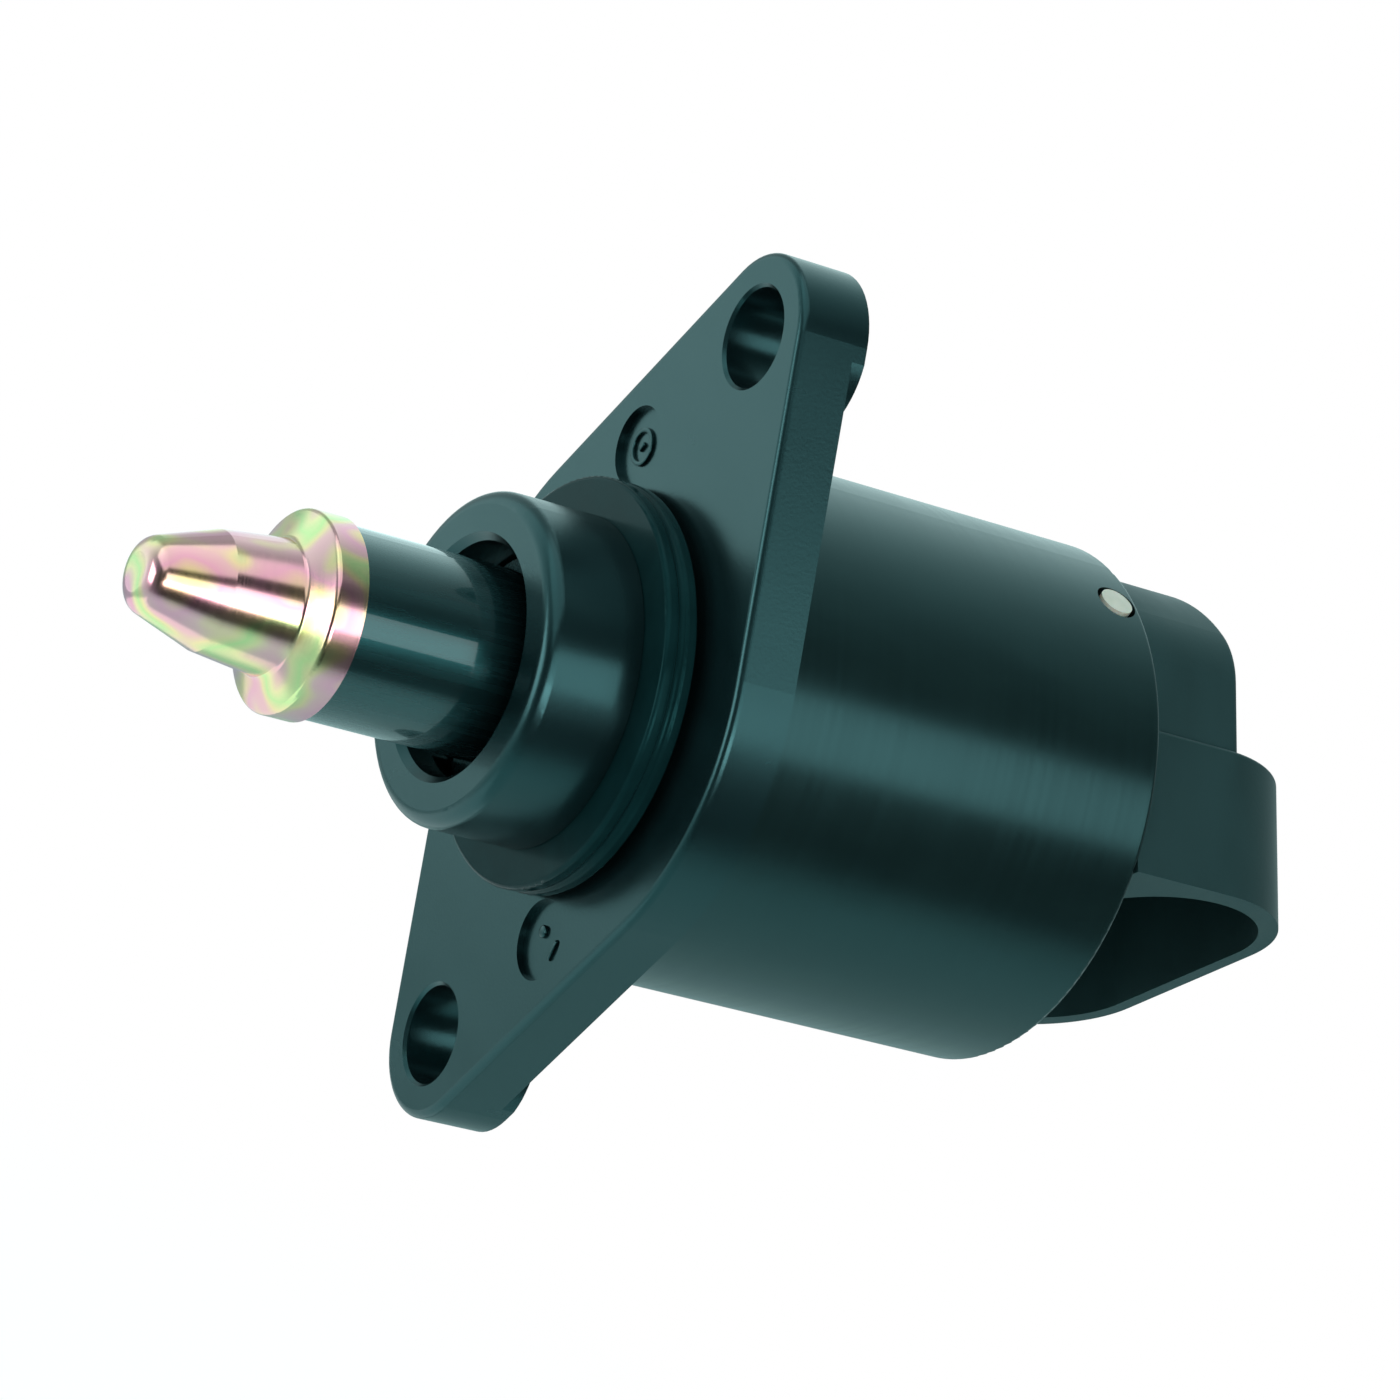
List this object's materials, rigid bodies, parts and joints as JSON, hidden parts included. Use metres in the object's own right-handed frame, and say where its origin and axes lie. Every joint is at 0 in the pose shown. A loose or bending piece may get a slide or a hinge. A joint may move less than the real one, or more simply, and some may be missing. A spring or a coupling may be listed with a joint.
{
  "type": "idle air control valve",
  "caption": "Stepper-driven idle air control valve: cone-ended plunger in a flanged nose, round motor can, rear oval connector open to one side.",
  "frame": {"origin": "centre of the flange's mounting face, on the valve axis", "axes": "-X out of the mounting face along the nose and plunger, +Z through the two screw holes, +Y by the right-hand rule"},
  "size_m": [0.0793, 0.0352, 0.0608],
  "materials": {
    "black_housing": "satin moulded, dark blue-green black",
    "black_cap": "satin moulded, dark blue-green black",
    "black_plunger": "smooth moulded, glossy",
    "rubber": "moulded rubber",
    "painted_can": "black painted drawn steel, satin",
    "passivated": "turned steel, zinc plated and yellow passivated, iridescent",
    "cream_nylon": "natural nylon",
    "pressed_steel": "bare pressed sheet",
    "copper": "enamelled copper wire",
    "bearing_steel": "ground",
    "cage_nylon": "moulded nylon, grey",
    "ferrite": "pressed ferrite",
    "bronze": "sintered bronze",
    "tinned_brass": "tin plated"
  },
  "bodies": {
    "housing": {"flange_housing": "black_housing", "connector_cap": "black_cap", "nose_seal": "rubber", "motor_can": "painted_can", "locating_peg": "cream_nylon", "front_bobbin": "cream_nylon", "rear_bobbin": "cream_nylon", "front_stator_cup": "pressed_steel", "front_stator_plate": "pressed_steel", "rear_stator_plate": "pressed_steel", "rear_stator_cup": "pressed_steel", "front_winding": "copper", "rear_winding": "copper", "bearing_outer_race": "bearing_steel", "thrust_washer": "bearing_steel", "rear_bush": "bronze", "terminal_1": "tinned_brass", "terminal_2": "tinned_brass", "terminal_3": "tinned_brass", "terminal_4": "tinned_brass"},
    "rotor": {"rotor_nut": "cage_nylon", "rotor_magnet": "ferrite", "bearing_inner_race": "bearing_steel", "bearing_balls": "bearing_steel", "bearing_cage": "cage_nylon"},
    "plunger": {"plunger": "black_plunger", "valve_cone": "passivated", "lead_screw": "bearing_steel"}
  },
  "joints": [
    {"name": "rotor_spin", "type": "hinge", "parent": "housing", "child": "rotor", "pos_m": [0, 0, 0], "axis": [1, 0, 0], "range_deg": [-360, 2880]},
    {"name": "plunger_slide", "type": "slide", "parent": "housing", "child": "plunger", "axis": [1, 0, 0], "range_m": [-0.001, 0.008]}
  ],
  "couplings": [
    {"joint": "plunger_slide", "follows": "rotor_spin", "m_per_rad": 0.000159}
  ]
}
